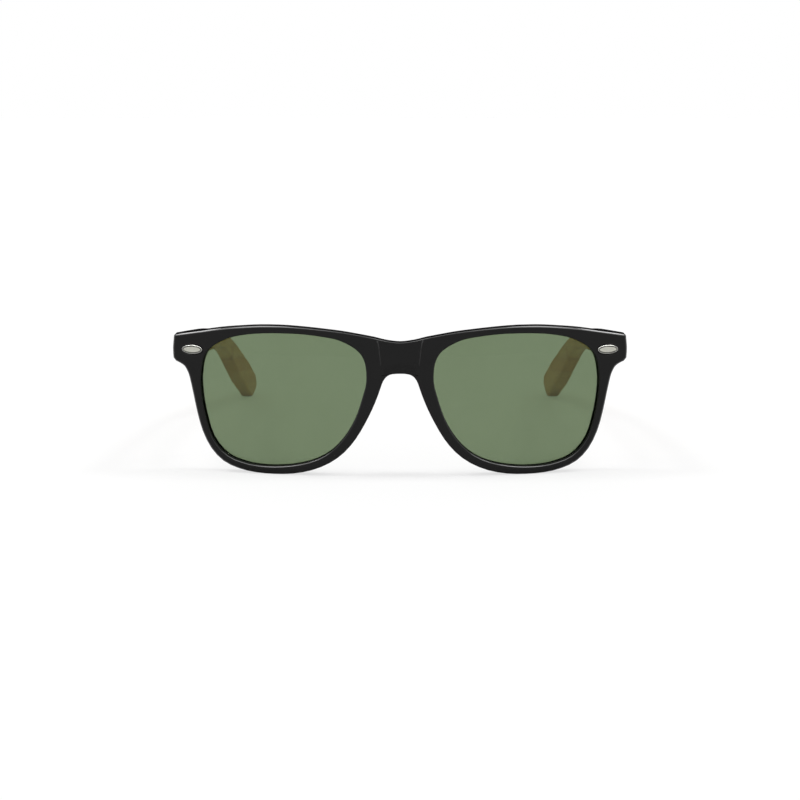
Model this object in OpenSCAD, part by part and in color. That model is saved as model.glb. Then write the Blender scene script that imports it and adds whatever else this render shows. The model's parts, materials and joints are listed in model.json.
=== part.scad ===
// Square-shaped sunglasses: a moulded black front, tinted lenses held in a groove,
// bamboo temples and a spring hinge on each side.
// Millimetres. X to the wearer's left, Y backwards from the lenses, Z up.
// The part stands on its two rims and its two temple tips at z = 0.

/* [Front] */
// clear width of one lens opening
lens_w = 54.3; // [44:0.1:60]
// clear height of one lens opening
lens_h = 43.7; // [34:0.1:52]
// shortest distance between the two lens openings
lens_gap = 21.5; // [16:0.1:26]
// how far each end piece stands out beyond its lens opening
end_w = 9; // [7:0.1:14]
// height of the rim under the lens
rim_low = 2.6; // [1.8:0.1:4]
// height of the rim over the lens
rim_top = 2.3; // [1.6:0.1:5]
// thickness of the rims from front to back
rim_t = 4.8; // [4:0.1:6.5]
// depth of the end pieces at their outer edge
end_t = 5.4; // [4.6:0.1:8]
// radius of the front's wrap, seen from above
wrap_r = 240; // [150:5:600]
// depth of the sunk panel on the bridge
bridge_sink = 0.35; // [0:0.05:0.8]
// how far the nose pads stand out behind the rims
pad_out = 2.6; // [0:0.1:4]

/* [Lenses] */
// thickness of a lens
lens_t = 1.6; // [1.2:0.1:2.2]
// depth of the lens surface behind the front face at mid height
lens_in = 1.3; // [0.6:0.1:1.4]
// depth of the groove that holds the lens
groove_d = 0.9; // [0.6:0.05:1.2]
// play of the lens in its groove
lens_play = 0.08; // [0.04:0.01:0.2]

/* [Temples] */
// length of a temple along its middle line, pin to tip
temple_len = 142; // [115:1:168]
// distance from the pin to the start of the ear bend
bend_at = 69; // [60:1:105]
// radius of the ear bend
bend_r = 85; // [40:1:140]
// angle of the ear bend
bend_angle = 21.5; // [10:0.5:40]
// thickness of a temple at the hinge
temple_t = 5; // [4:0.1:6.5]
// thickness of a temple at the tip
tip_t = 5.2; // [3:0.1:6]
// height of a temple at the hinge
temple_h = 7.2; // [7:0.1:12]
// height of a temple at its waist, in front of the ear bend
waist_h = 5.8; // [5:0.1:10]
// height of a temple at the tip
tip_h = 12.2; // [8:0.1:14]
// angle by which each temple leans towards the other
lean = 0.7; // [0:0.1:6]
// extra inward bend of the temple, at the tip
tip_in = 6.9; // [0:0.1:8]
// gap between the temple's end and the end piece
butt_gap = 0.15; // [0.08:0.01:0.4]

/* [Hinges] */
// radius of the hinge knuckles
knuckle_r = 1.5; // [1.3:0.05:2]
// radius of the hinge screw's shank
screw_r = 0.6; // [0.5:0.05:0.8]
// thickness of the slider's tongue
tongue_t = 1.36; // [1:0.02:2]
// thickness of each of the two front knuckles
ear_t = 1.3; // [0.9:0.05:2]
// radius of the slider's rod
rod_r = 0.5; // [0.4:0.02:0.7]
// length of the spring housing's box
box_l = 12.5; // [11:0.1:16]
// length of the housing's tail plate
tail_l = 7.3; // [6:0.1:10]
// radius of the spring's wire
wire_r = 0.16; // [0.12:0.01:0.2]
// number of turns in the spring
turns = 8; // [5:1:10]
// running fit, on the radius
fit = 0.03; // [0.02:0.01:0.06]
// how far a spring hinge lets its temple slide out
travel = 1.5; // [0.5:0.1:2]

/* [Hidden] */
$fn = 32;

black = [0.13, 0.13, 0.13];
green = [0.35, 0.42, 0.30, 0.8];
silver = [0.78, 0.78, 0.76];
steel = [0.55, 0.55, 0.56];
brass = [0.72, 0.60, 0.32];
bamboo = [0.80, 0.68, 0.50];

// The front is drawn at one natural size as distances out from the middle plane (u) and
// up from the rims (z). These two lines stretch it so that the lens openings and the
// edges land on the sizes above.
lens_u = 37.7;
lens_z = 24.7;
function su(u) = lookup(u, [[0, 0], [10.76, lens_gap / 2],
    [65.05, lens_gap / 2 + lens_w], [74.05, lens_gap / 2 + lens_w + end_w]]);
function sz(z) = z < 0 ? z : lookup(z, [[0, 0], [2.63, rim_low], [46.31, rim_low + lens_h],
    [48.6, rim_low + lens_h + rim_top]]);

// smooth curve through points, the first and last of which only set the end directions
function pass(a, b, c, d, t) = 0.5 * (2 * b + (c - a) * t
    + (2 * a - 5 * b + 4 * c - d) * t * t + (3 * b - a - 3 * c + d) * t * t * t);
function curve(p, n) = [for (i = [1:len(p) - 3]) for (k = [0:n - 1])
    pass(p[i - 1], p[i], p[i + 1], p[i + 2], k / n)];
function ease(t) = let (k = min(1, max(0, t))) k * k * (3 - 2 * k);

// lens shape: distance of its edge from the lens centre at every 15 degrees, from the nose
// side over the top to the temple side and back underneath
lens_shape = [25.3, 27.85, 29.35, 27.1, 23.95, 22.15, 21.55, 22.2, 24.05, 26.85, 29.05, 28.1,
    26.95, 26.65, 27.25, 26.8, 24.75, 22.95, 21.95, 21.8, 22.25, 22.75, 23.15, 23.95];
function lens_r(a) = let (q = a / 15, i = floor(q))
    pass(lens_shape[(i + 23) % 24], lens_shape[i % 24], lens_shape[(i + 1) % 24],
        lens_shape[(i + 2) % 24], q - i);
function lens_edge(a) = [su(lens_u - lens_r(a) * cos(a)), sz(lens_z + lens_r(a) * sin(a))];

// outline of half the front: [u, z, bearing of the lens edge that it faces]
brow = [[-4.65, 44.2, 27], [0, 43.65, 30], [4.65, 44.2, 33], [8.15, 45.05, 36],
    [12.9, 45.95, 41], [18.6, 46.9, 49], [25.2, 47.65, 61], [31.8, 48.25, 76],
    [38.3, 48.6, 91.5], [44.8, 48.55, 107], [51.3, 48.1, 120.5], [57.9, 47.4, 132],
    [64.4, 46.3, 141], [69.3, 45.5, 147], [73.3, 44.8, 150.5], [75.6, 44.4, 154]];
end_side = [[73.3, 45.9, 150], [73.6, 44.4, 152], [74.05, 40.5, 155.5],
    [73.95, 37.15, 158], [73.5, 34.8, 160]];
rim = [[74.85, 36.6, 157.5], [73.05, 36.05, 159], [71.65, 35.45, 160.5], [70.25, 34.5, 162.5],
    [69.35, 32.95, 165.5], [68.65, 31, 168.7], [67.55, 25.75, 178], [66.35, 19.6, 190],
    [64.65, 13.35, 203], [61.8, 7.65, 215.5], [57.75, 3.6, 226.5], [52.75, 1.4, 237],
    [47.1, 0.3, 249], [41, 0, 262], [34.75, 0.35, 276.5], [28.5, 1.7, 292],
    [22.7, 4.25, 306.5], [18, 7.8, 319.5], [14.2, 12.35, 332], [11.25, 17.35, 344.5],
    [8.85, 22.15, 355], [6.95, 26.85, 364], [5.75, 30.4, 369], [5, 31.85, 371.5],
    [4, 32.9, 373.3], [2.5, 33.5, 375], [0, 33.65, 377], [-2.5, 33.5, 379]];
edge = concat(curve(brow, 3), [brow[14]], curve(end_side, 2), [end_side[3]],
    curve(rim, 2), [rim[26]]);
arch = rim[26];
crest = brow[1] + [0, 0, 360];
middle = [for (k = [1:4]) arch + (crest - arch) * k / 5];
columns = concat([for (e = edge) [e[0], e[1], e[2], 0]], [for (e = middle) concat(e, 1)]);
n_edge = len(edge);
n_col = len(columns);

outline = [for (c = columns) [su(c[0]), sz(c[1])]];
floor_z = min([for (p = outline) p[1]]);
half_w = lens_gap / 2 + lens_w + end_w;
front_h = rim_low + lens_h + rim_top - floor_z;
eye_z = sz(lens_z) - floor_z;

// front face, lens surfaces and the flat that the temple butts against
function face_y(u) = wrap_r - sqrt(wrap_r * wrap_r - u * u);
function ball_y(u, z, r) = wrap_r - sqrt(r * r - u * u - pow(z - eye_z, 2));
land_y = face_y(half_w) + end_t;

// the sunk panel between two lines that lean in towards the nose
panel_z = 44.6;
panel_low = 33.1;
panel_top = 7.4;
panel_lean = 0.12;
panel_ramp = 1.1;
function panel_u(z) = panel_top - panel_lean * (panel_z - z);
function sink(u, z) = bridge_sink * ease((z - panel_low) / 4)
    * ease((panel_u(z) - u) / panel_ramp);
function front_y(u, z) = face_y(u) + sink(u, z);
// the wall of the lens opening turns half as far as the wrapped face: its place at depth d
function wall(p, d) = [p[0] * (1 - 0.5 * d / wrap_r), p[1]];
function ball_d(z, r) = wrap_r - sqrt(r * r - pow(z - eye_z, 2));
// edge of the groove floor, and of the lens with some play taken off
function groove(a, n, d) = wall(a + n * d, ball_d(a[1], wrap_r - lens_in - lens_t / 2));

bevel_lens = 0.3;
bevel_back = 0.5;
// the outer edge is hardly broken at the bridge and more towards the end pieces
bevel_bridge = 0.22;
bevel_end = 0.5;
function edge_bevel(u) = mid(bevel_bridge, bevel_end, ease((u - 12) / 38));
// the broken edge is slightly crowned: its middle lies at this share of its width
soft = 0.46;

function mid(p, q, t) = p + (q - p) * t;
function unit(v) = v / norm(v);
function at(i) = outline[(i + n_col) % n_col];
// direction inwards from the outline at column i
function inward(i) = i == 0 ? [0, -1] : i == n_edge - 1 ? [0, 1]
    : let (d = unit(at(i + 1) - at(i - 1))) [d[1], -d[0]];

// one section through the rim: front face, edge, back face, inner wall and lens groove
function section(i) = let (
    c = columns[i],
    cut = c[3] == 1,
    z0 = [0, floor_z],
    a = lens_edge(c[2]) - z0,
    b = outline[i] - z0,
    n = unit(b - a),
    m = cut ? [0, 0] : inward(i),
    be = edge_bevel(b[0]),
    nose = c[2] > 320 || c[2] < 60,
    // where the section crosses the panel's edge line
    k = -(a[0] - panel_u(a[1])) / ((b[0] - a[0]) - panel_lean * (b[1] - a[1])),
    t1 = nose && k > 0.3 ? min(0.86, k) : 0.4,
    t2 = nose && k > 0.3 ? min(0.93, k + panel_ramp / norm(b - a)) : 0.7,
    pad = pad_out * ease((c[1] - 7.6) / 6) * ease((30.6 - c[1]) / 7) * (c[2] > 300 ? 1 : 0),
    end = ease((c[0] - 62) / 4) * ease((c[1] - 30.6) / 4.5),
    p0 = a + n * bevel_lens,
    p3 = b + m * be,
    p4 = b + m * be * soft,
    p1 = mid(p0, p3, t1),
    p2 = mid(p0, p3, t2),
    p6 = b + m * pad * 0.45,
    p7 = p6 + m * bevel_back,
    ab = wall(a, rim_t),
    p8 = mid(ab, p7, mid(0.6, 0.3, end)),
    p9 = mid(ab, p7, mid(0.4, 0.2, end)),
    p10 = ab + n * bevel_back * 0.6,
    p11 = wall(a, rim_t - bevel_back * 0.6),
    f5 = front_y(b[0], b[1]) + be,
    g = mid(face_y(b[0]) + rim_t + pad, land_y, end),
    g8 = mid(face_y(p8[0]) + rim_t + pad * 0.75, land_y, end),
    g9 = face_y(p9[0]) + rim_t + pad * 0.3,
    g10 = face_y(p10[0]) + rim_t,
    r1 = wrap_r - lens_in + lens_play,
    r2 = wrap_r - lens_in - lens_t - lens_play,
    d1 = ball_d(a[1], r1),
    d2 = ball_d(a[1], r2),
    p12 = wall(a, d2),
    p15 = wall(a, d1),
    p16 = wall(a, bevel_lens),
    q = groove(a, n, groove_d))
    [[p0[0], front_y(p0[0], p0[1]), p0[1]],
     [p1[0], front_y(p1[0], p1[1]), p1[1]],
     [p2[0], front_y(p2[0], p2[1]), p2[1]],
     [p3[0], front_y(p3[0], p3[1]), p3[1]],
     [p4[0], front_y(p4[0], p4[1]) + be * soft, p4[1]],
     [b[0], f5, b[1]],
     [p6[0], g - bevel_back, p6[1]],
     [p7[0], g, p7[1]],
     [p8[0], g8, p8[1]],
     [p9[0], g9, p9[1]],
     [p10[0], g10, p10[1]],
     [p11[0], face_y(a[0]) + rim_t - bevel_back * 0.6, a[1]],
     [p12[0], ball_y(p12[0], a[1], r2), a[1]],
     [q[0], ball_y(q[0], q[1], r2), q[1]],
     [q[0], ball_y(q[0], q[1], r1), q[1]],
     [p15[0], ball_y(p15[0], a[1], r1), a[1]],
     [p16[0], face_y(a[0]) + bevel_lens, a[1]]];
n_sec = 17;

// The temple is drawn along +Y from the hinge pin, its inner face at x = -seat.
knuckle_clear = 0.25;
seat = knuckle_r + knuckle_clear;
arc_l = bend_r * bend_angle * PI / 180;
function path(s) = s <= bend_at ? [s, 0]
    : s <= bend_at + arc_l ? let (a = (s - bend_at) / arc_l * bend_angle)
        [bend_at + bend_r * sin(a), -bend_r * (1 - cos(a))]
    : [bend_at + bend_r * sin(bend_angle), -bend_r * (1 - cos(bend_angle))]
        + (s - bend_at - arc_l) * [cos(bend_angle), -sin(bend_angle)];
function dip(s) = min(bend_angle, max(0, (s - bend_at) / arc_l * bend_angle));
// the hinge end is plain up to here, then the waist and the inward bend begin
plain_l = 27;
// the tip is full height this far before its end
full_tip = 12;
// the tip's upper corner is rounded less than its lower one
tip_top_r = 2.5;
tip_low_r = 8;
function round_off(s, r) = let (k = s - (temple_len - r))
    k <= 0 ? 0 : r - sqrt(max(0, r * r - k * k));
function temple_high(s) = s < bend_at
    ? mid(temple_h, waist_h, ease((s - plain_l) / (bend_at - plain_l)))
    : mid(waist_h, tip_h, ease((s - bend_at) / (temple_len - full_tip - bend_at)));
function temple_thick(s) = lookup(s, [[plain_l, temple_t], [temple_len, tip_t]])
    - 0.5 * round_off(s, tip_top_r);
function bow(s) = tip_in * pow(max(0, (s - plain_l) / (temple_len - plain_l)), 2);
corner_r = 1.3;
stations = concat([-4], [for (s = [4:8:bend_at - 4]) s],
    [for (k = [0:8]) bend_at + arc_l * k / 8],
    [for (k = [1:5]) mid(bend_at + arc_l, temple_len - tip_low_r, k / 5)],
    [for (k = [1:3]) temple_len - tip_low_r + (tip_low_r - tip_top_r) * k / 3],
    [for (k = [1:5]) temple_len - tip_top_r * (1 - sin(17.5 * k))]);
// one rounded section of the temple at distance s from the pin
function temple_ring(s) = let (
    top = temple_high(s) / 2 - round_off(s, tip_top_r),
    low = round_off(s, tip_low_r) - temple_high(s) / 2,
    h = (top - low) / 2,
    t = temple_thick(s) / 2,
    r = min(corner_r, t - 0.1, h - 0.1),
    o = path(s),
    x0 = -seat - temple_thick(min(s, temple_len - tip_top_r)) / 2 + bow(s),
    d = dip(s))
    [for (q = [0:3]) for (k = [0:3]) let (
        a = q * 90 + k * 30,
        x = (q == 0 || q == 3 ? t - r : r - t) + r * cos(a),
        z = (top + low) / 2 + (q < 2 ? h - r : r - h) + r * sin(a))
        [x0 + x, o[0] + z * sin(d), o[1] + z * cos(d)]];
temple_rings = [for (s = stations) temple_ring(s)];
temple_pts = [for (r = temple_rings) for (p = r) p];

// The pin stands behind the end piece. The slope of the temples follows from the tips
// having to reach the same table as the rims.
pin_clear = 0.8;
end_over = 0.5;
pin_back = knuckle_r + pin_clear;
pin_u = half_w - end_over - temple_t - seat;
pin = [-pin_u, land_y + pin_back, sz(40.5) - floor_z];
function turn_in(p) = [p[0] * cos(lean) + p[1] * sin(lean),
    p[1] * cos(lean) - p[0] * sin(lean), p[2]];
function tilt(p, f) = [p[0], p[1] * cos(f) + p[2] * sin(f), p[2] * cos(f) - p[1] * sin(f)];
function lowest(f) = pin[2] + min([for (p = temple_pts) tilt(turn_in(p), f)[2]]);
function solve(a, b, n) = let (m = (a + b) / 2)
    n == 0 ? m : lowest(m) > 0 ? solve(m, b, n - 1) : solve(a, m, n - 1);
slope = solve(0, 25, 24);
back_y = pin[1] + max([for (p = temple_pts) tilt(turn_in(p), slope)[1]]);
front_most = min([for (i = [0:n_col - 1]) min([for (p = section(i)) p[1]])]);
shift_y = -(back_y + front_most) / 2;

// sizes inside the spring hinge, along the temple from the pin
knuckle_gap = 0.07;
end_gap = 0.05;
ear_in = tongue_t / 2 + knuckle_gap;
ear_out = ear_in + ear_t;
box_at = knuckle_r + 0.2;
box_h = 3.7;
box_in = 1.55;
end_wall = 0.8;
plate_t = 0.8;
bore_r = 1.2;
bush_l = 1.35;
bush_at = box_at + end_gap;
bush_end = bush_at + bush_l;
spring_at = bush_end + wire_r + end_gap;
spring_l = box_l - 5.2;
nut_at = spring_at + spring_l + wire_r + end_gap;
nut_l = 1.1;
// the nut's sleeve meets the bush at the end of the travel
sleeve_r = rod_r + fit + 0.12;
sleeve_at = bush_end + travel;
rod_end = nut_at + nut_l + 0.1;
tail_end = box_at + box_l + tail_l;
screw_y = [box_at + box_l + tail_l * 0.28, box_at + box_l + tail_l * 0.74];

echo(half_w = half_w, front_h = front_h, land_y = land_y, eye_z = eye_z);
echo(pin = pin + [0, shift_y, 0], slope = slope, lean = lean, shift_y = shift_y);
echo(back_y = back_y, front_most = front_most, depth = back_y - front_most);
echo(spring_gap = spring_l / turns - 2 * wire_r, spring_from = spring_at, spring_to = nut_at);

// Shared placing: the part's own origin, one side or the other, and the hinge.
module place() {
    translate([0, shift_y, 0])
        children();
}
module on_left() {
    mirror([1, 0, 0])
        children();
}
module at_pin() {
    translate(pin)
        rotate([-slope, 0, 0])
            children();
}
module along_temple() {
    at_pin()
        rotate([0, 0, -lean])
            children();
}
// a rod along Y, and a box between two corners
module rod_y(r, from, to) {
    translate([0, from, 0])
        rotate([-90, 0, 0])
            cylinder(r = r, h = to - from);
}
module box(from, to) {
    translate(from)
        cube(to - from);
}

// Front: both halves share the points in the middle plane, so they make one solid.
function half_pts(s) = [for (i = [0:n_col - 1]) for (p = section(i))
    [p[0] == 0 ? 0 : s * p[0], p[1], p[2]]];
function half_faces(base, flip) = [for (i = [0:n_col - 1]) for (k = [0:n_sec - 1]) let (
    j = (i + 1) % n_col,
    l = (k + 1) % n_sec,
    open = i >= n_edge - 1 && k >= 3 && k <= 6,
    a = base + i * n_sec + k,
    b = base + j * n_sec + k,
    c = base + j * n_sec + l,
    d = base + i * n_sec + l)
    if (!open) for (f = flip ? [[a, c, b], [a, d, c]] : [[a, b, c], [a, c, d]]) f];
module front_body() {
    polyhedron(points = concat(half_pts(-1), half_pts(1)),
        faces = concat(half_faces(0, true), half_faces(n_col * n_sec, false)), convexity = 8);
}

// sizes of the hinge leaf that is sunk into the end piece from behind
leaf_t = 1;
leaf_sunk = 0.45;
leaf_x = [-knuckle_r - 0.7, knuckle_r + 0.1];
leaf_h = 2 * ear_out + 0.5;
leaf_y = [-pin_back - leaf_sunk - leaf_t, -pin_back - leaf_sunk];
stud_r = 0.75;
stud_l = 2;
stud_x = -0.3;
stud_z = 1.4;
module leaf_pocket() {
    box([leaf_x[0] - fit, leaf_y[0] - fit, -leaf_h / 2 - fit],
        [leaf_x[1] + fit, 0, leaf_h / 2 + fit]);
    for (s = [-1, 1])
        translate([stud_x, 0, s * stud_z])
            rod_y(stud_r + fit, leaf_y[0] - stud_l - 0.1, leaf_y[0]);
}

// place of the oval rivet on the sloping front face
rivet_from_edge = 6.5;
rivet_u = half_w - rivet_from_edge;
rivet_z = pin[2] - 0.35;
rivet_w = 7.1;
rivet_h = 2.9;
rivet_sunk = 0.45;
rivet_proud = 0.12;
rivet_edge = 0.3;
// the seat widens towards the face
seat_edge = 0.32;
rivet_pin_r = 0.55;
rivet_pin_l = 2.2;
module at_rivet() {
    translate([-rivet_u, face_y(rivet_u), rivet_z])
        rotate([0, 0, -asin(rivet_u / wrap_r)])
            children();
}
// an oval along Y that is wider by grow on every side where it ends in front
oval_n = 48;
module oval(w, h, from, to, grow = 0) {
    pts = [for (e = [[from, grow], [to, 0]]) for (k = [0:oval_n - 1]) let (a = 360 * k / oval_n)
        [(w / 2 + e[1]) * cos(a), e[0], (h / 2 + e[1]) * sin(a)]];
    polyhedron(points = pts, faces = concat(ring_faces(2, oval_n), cap_faces(2, oval_n)));
}
module rivet_pins(r, l) {
    for (s = [-1, 1])
        translate([s * rivet_w * 0.28, 0, 0])
            rod_y(r, 0, rivet_sunk + l);
}
module end_cuts() {
    at_pin()
        leaf_pocket();
    at_rivet() {
        oval(rivet_w + 2 * fit, rivet_h + 2 * fit, -2, rivet_sunk + fit);
        oval(rivet_w + 2 * fit, rivet_h + 2 * fit, -seat_edge, seat_edge, 2 * seat_edge);
        rivet_pins(rivet_pin_r + fit, rivet_pin_l + 0.1);
    }
}
module front_frame() {
    color(black)
        place()
            difference() {
                front_body();
                end_cuts();
                on_left()
                    end_cuts();
            }
}

// Lens: cut out of a ball concentric with the wrap, its edge inside the groove.
module lens() {
    r1 = wrap_r - lens_in;
    edge_pts = [for (c = columns) let (
        a = lens_edge(c[2]) - [0, floor_z],
        b = su(c[0]) * [1, 0] + (sz(c[1]) - floor_z) * [0, 1])
        groove(a, unit(b - a), groove_d - lens_play)];
    place()
        difference() {
            intersection() {
                translate([0, 40, 0])
                    rotate([90, 0, 0])
                        linear_extrude(60)
                            polygon([for (p = edge_pts) [-p[0], p[1]]]);
                translate([0, wrap_r, eye_z])
                    sphere(r = r1, $fn = 180);
            }
            translate([0, wrap_r, eye_z])
                sphere(r = r1 - lens_t, $fn = 180);
        }
}
module right_lens() {
    color(green)
        lens();
}
module left_lens() {
    color(green)
        on_left()
            lens();
}

// Rivet: an oval cap with two pins in blind holes.
module rivet() {
    place()
        at_rivet() {
            oval(rivet_w, rivet_h, rivet_edge - rivet_proud, rivet_sunk);
            oval(rivet_w, rivet_h, -rivet_proud, rivet_edge - rivet_proud, -rivet_edge);
            rivet_pins(rivet_pin_r, rivet_pin_l);
        }
}
module right_rivet() {
    color(silver)
        rivet();
}
module left_rivet() {
    color(silver)
        on_left()
            rivet();
}

// Front hinge: a plate with two studs in the plastic and two knuckles.
module front_hinge() {
    place()
        at_pin()
            difference() {
                union() {
                    box([leaf_x[0], leaf_y[0], -leaf_h / 2], [leaf_x[1], leaf_y[1], leaf_h / 2]);
                    for (s = [-1, 1])
                        translate([stud_x, 0, s * stud_z])
                            rod_y(stud_r, leaf_y[0] - stud_l, leaf_y[1]);
                    for (s = [-1, 1])
                        translate([0, 0, s * (ear_in + ear_out) / 2]) {
                            cylinder(r = knuckle_r, h = ear_t, center = true);
                            box([-knuckle_r, leaf_y[1] - 0.2, -ear_t / 2],
                                [knuckle_r, 0, ear_t / 2]);
                        }
                }
                cylinder(r = screw_r + fit, h = 20, center = true);
            }
}
module right_front_hinge() {
    color(steel)
        front_hinge();
}
module left_front_hinge() {
    color(steel)
        on_left()
            front_hinge();
}

// Hinge screw: a slotted head on a plain shank.
head_r = 1.05;
head_h = 0.65;
module hinge_screw() {
    place()
        at_pin()
            difference() {
                union() {
                    translate([0, 0, -ear_out])
                        cylinder(r = screw_r, h = 2 * ear_out + 0.1);
                    translate([0, 0, ear_out + 0.04])
                        cylinder(r = head_r, h = head_h);
                }
                box([-2, -0.15, ear_out + head_h - 0.26], [2, 0.15, ear_out + head_h + 1]);
            }
}
module right_hinge_screw() {
    color(silver)
        hinge_screw();
}
module left_hinge_screw() {
    color(silver)
        on_left()
            hinge_screw();
}

// Temple: rounded sections along its middle line, with the seat of the spring housing.
function ring_faces(n, m) = [for (i = [0:n - 2]) for (k = [0:m - 1]) let (
    a = i * m + k,
    b = i * m + (k + 1) % m,
    c = a + m,
    d = b + m)
    for (f = [[a, b, d], [a, d, c]]) f];
function cap_faces(n, m) = concat([for (k = [1:m - 2]) [0, k + 1, k]],
    [for (k = [1:m - 2]) [(n - 1) * m, (n - 1) * m + k, (n - 1) * m + k + 1]]);
pilot_r = 0.5;
pilot_l = 3;
seat_play = 0.05;
// the housing's plate, straight at the hinge and round at its far end
module plate(x0, x1, from, to, h) {
    box([x0, from, -h / 2], [x1, to - h / 2, h / 2]);
    translate([x0, to - h / 2, 0])
        rotate([0, 90, 0])
            cylinder(d = h, h = x1 - x0);
}
module temple() {
    n = len(stations);
    place()
        difference() {
            along_temple()
                polyhedron(points = temple_pts,
                    faces = concat(ring_faces(n, 16), cap_faces(n, 16)), convexity = 4);
            box([-200, -50, -100], [200, land_y + butt_gap, 200]);
            along_temple() {
                plate(-seat - plate_t - seat_play, 0, box_at - 2 * seat_play,
                    tail_end + seat_play, box_h + 2 * seat_play);
                for (y = screw_y)
                    translate([-seat - plate_t - pilot_l - 0.1, y, 0])
                        rotate([0, 90, 0])
                            cylinder(r = pilot_r + fit, h = pilot_l + 1);
            }
        }
}
module right_temple() {
    color(bamboo)
        temple();
}
module left_temple() {
    color(bamboo)
        on_left()
            temple();
}

// Spring housing: a bored box on a plate that is let into the temple.
screw_head_r = 0.95;
sink_h = 0.48;
sink_at = plate_t - sink_h - 0.02;
module spring_housing() {
    place()
        along_temple()
            difference() {
                union() {
                    box([-seat - plate_t, box_at, -box_h / 2], [box_in, box_at + box_l, box_h / 2]);
                    plate(-seat - plate_t, -seat, box_at, tail_end, box_h);
                }
                rod_y(bore_r, box_at - 1, box_at + box_l - end_wall);
                for (y = screw_y)
                    translate([-seat - plate_t, y, 0])
                        rotate([0, 90, 0]) {
                            cylinder(r = pilot_r + fit, h = 2, center = true);
                            translate([0, 0, sink_at])
                                cylinder(r1 = pilot_r + fit, r2 = screw_head_r + fit, h = sink_h);
                            translate([0, 0, sink_at + sink_h - 0.01])
                                cylinder(r = screw_head_r + fit, h = 0.1);
                        }
            }
}
module right_spring_housing() {
    color(steel)
        spring_housing();
}
module left_spring_housing() {
    color(steel)
        on_left()
            spring_housing();
}

// Slider: the middle knuckle with its rod.
web = 1.1;
module slider() {
    place()
        along_temple()
            difference() {
                union() {
                    cylinder(r = knuckle_r, h = tongue_t, center = true);
                    box([-web, 0, -tongue_t / 2], [web, box_at - end_gap, tongue_t / 2]);
                    rod_y(rod_r, 1, rod_end);
                }
                cylinder(r = screw_r + fit, h = 20, center = true);
            }
}
module right_slider() {
    color(steel)
        slider();
}
module left_slider() {
    color(steel)
        on_left()
            slider();
}

// Spring: one round wire wound into a helix between the bush and the nut.
coil_r = (sleeve_r + bore_r) / 2;
per_turn = 16;
module spring() {
    n = turns * per_turn + 1;
    m = 6;
    rise = atan(spring_l / turns / (2 * PI * coil_r));
    pts = [for (i = [0:n - 1]) let (w = 360 * i / per_turn) for (k = [0:m - 1]) let (
        out = coil_r + wire_r * cos(60 * k),
        up = wire_r * sin(60 * k))
        [out * cos(w) + up * sin(rise) * sin(w),
         spring_at + spring_l * i / (n - 1) + up * cos(rise),
         out * sin(w) - up * sin(rise) * cos(w)]];
    place()
        along_temple()
            polyhedron(points = pts, faces = concat(ring_faces(n, m), cap_faces(n, m)),
                convexity = 10);
}
module right_spring() {
    color(silver)
        spring();
}
module left_spring() {
    color(silver)
        on_left()
            spring();
}

// Guide bush: the ring in the housing's mouth that the rod runs through.
module guide_bush() {
    place()
        along_temple()
            difference() {
                rod_y(bore_r - fit, bush_at, bush_end);
                rod_y(rod_r + fit, 0, bush_end + 1);
            }
}
module right_guide_bush() {
    color(brass)
        guide_bush();
}
module left_guide_bush() {
    color(brass)
        on_left()
            guide_bush();
}

// Stop nut: fixed on the rod's end, it takes the far end of the spring. Its sleeve runs
// inside the coil and stops the travel at the bush.
module stop_nut() {
    place()
        along_temple()
            difference() {
                union() {
                    rod_y(bore_r - 2 * fit, nut_at, nut_at + nut_l);
                    rod_y(sleeve_r, sleeve_at, nut_at + nut_l / 2);
                }
                rod_y(rod_r + fit, 0, rod_end + 1);
            }
}
module right_stop_nut() {
    color(brass)
        stop_nut();
}
module left_stop_nut() {
    color(brass)
        on_left()
            stop_nut();
}

// Two small countersunk screws that hold each housing on its temple.
module housing_screws() {
    place()
        along_temple()
            for (y = screw_y)
                translate([-seat - plate_t - pilot_l, y, 0])
                    rotate([0, 90, 0])
                        difference() {
                            union() {
                                cylinder(r = pilot_r, h = pilot_l + sink_at + 0.2);
                                translate([0, 0, pilot_l + sink_at])
                                    cylinder(r1 = pilot_r, r2 = screw_head_r, h = sink_h);
                            }
                            translate([0, 0, pilot_l + plate_t])
                                cube([0.3, 3, 0.5], center = true);
                        }
}
module right_housing_screws() {
    color(silver)
        housing_screws();
}
module left_housing_screws() {
    color(silver)
        on_left()
            housing_screws();
}

front_frame();
right_lens();
left_lens();
right_rivet();
left_rivet();
right_front_hinge();
left_front_hinge();
right_hinge_screw();
left_hinge_screw();
right_temple();
left_temple();
right_spring_housing();
left_spring_housing();
right_slider();
left_slider();
right_spring();
left_spring();
right_guide_bush();
left_guide_bush();
right_stop_nut();
left_stop_nut();
right_housing_screws();
left_housing_screws();
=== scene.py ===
# %% [markdown]
# # Sunglasses with bamboo temples
#
# The construction of these sunglasses is finished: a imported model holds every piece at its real
# size and place, in metres, with its joints. This lesson dresses that model. Each step says what
# the piece is on the real object, how it could be made in Blender, and why one way was chosen.
# X runs to the wearer's left, Y from the lenses back to the ears, and Z up.

# %% Load the frame
import json
import math

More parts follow.
